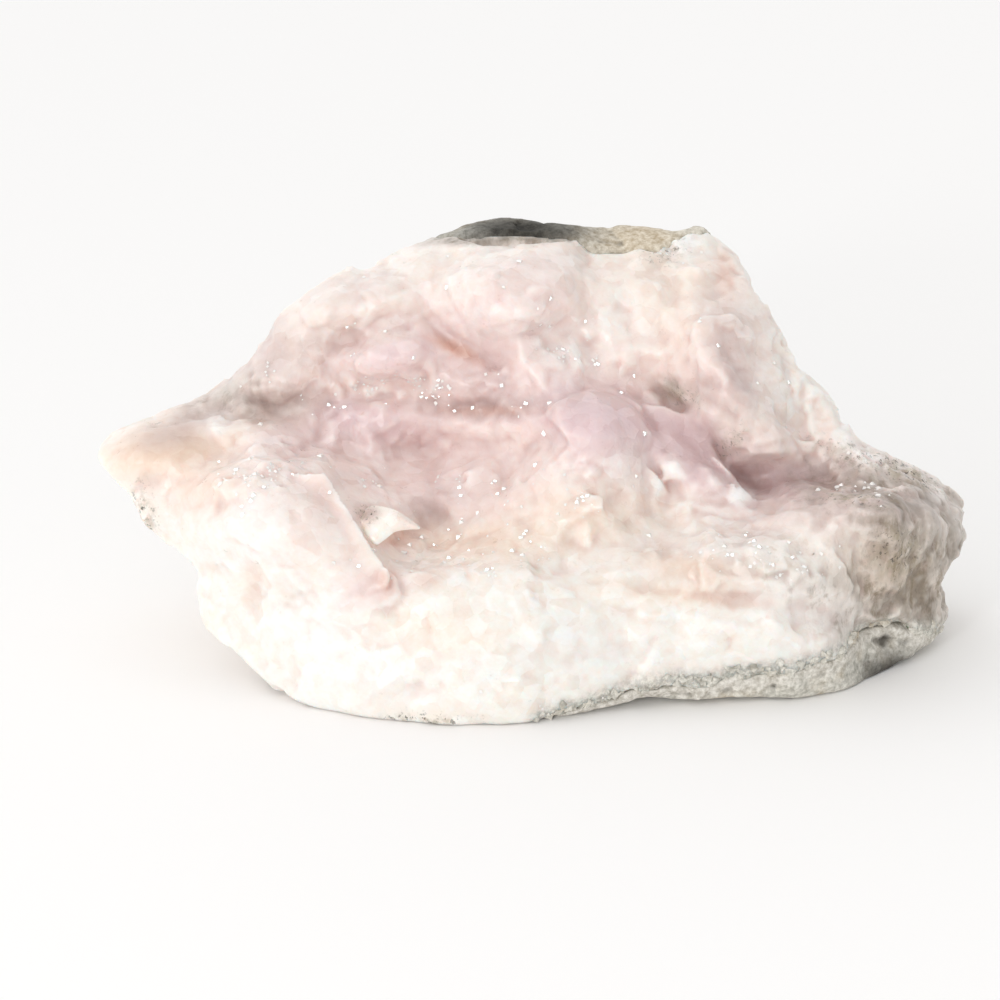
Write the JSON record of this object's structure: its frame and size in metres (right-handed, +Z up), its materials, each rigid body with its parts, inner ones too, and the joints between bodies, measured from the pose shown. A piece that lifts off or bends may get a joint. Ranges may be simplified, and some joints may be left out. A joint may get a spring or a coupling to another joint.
{
  "type": "mineral specimen",
  "caption": "Hand specimen of pink manganocalcite grown as a thick crust on grey host rock, resting on its flat underside.",
  "frame": {"origin": "middle of the footprint, on the flat underside that the specimen rests on", "axes": "+X to the right along the length, -Y the way the crystal face looks, +Z up from the flat underside"},
  "size_m": [0.1628, 0.0859, 0.072],
  "materials": {
    "manganocalcite": "glassy to waxy, translucent",
    "host_rock": "rough, granular",
    "white_calcite": "satin, slightly translucent"
  },
  "bodies": {
    "root": {"calcite_mass": "manganocalcite", "matrix_rock": "host_rock", "white_blade": "white_calcite"}
  },
  "joints": []
}
